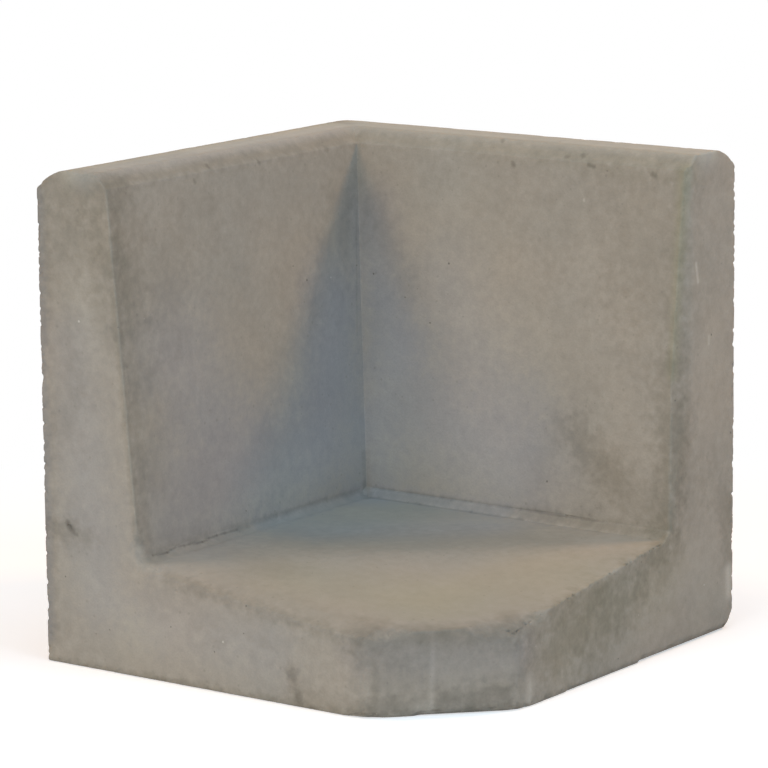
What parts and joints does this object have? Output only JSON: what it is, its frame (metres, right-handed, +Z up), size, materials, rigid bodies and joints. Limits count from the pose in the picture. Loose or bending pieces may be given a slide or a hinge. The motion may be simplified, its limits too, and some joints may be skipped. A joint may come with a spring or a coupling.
{
  "type": "l-shaped retaining wall corner element",
  "caption": "Cast concrete L-shaped retaining wall element for a 90 degree corner: upright tapered walls on a thick foot with a cut-off free corner.",
  "frame": {"origin": "middle of the element's footprint box, on its bedding face", "axes": "+Z up; +X out of the joint face of the back wall; -Y out of the joint face of the side wall; the retained side is -X and +Y"},
  "size_m": [0.4, 0.4, 0.4],
  "materials": {
    "concrete": "matt cast concrete, warm grey-beige, fine open pores"
  },
  "bodies": {
    "root": {"corner_element": "concrete"}
  },
  "joints": []
}
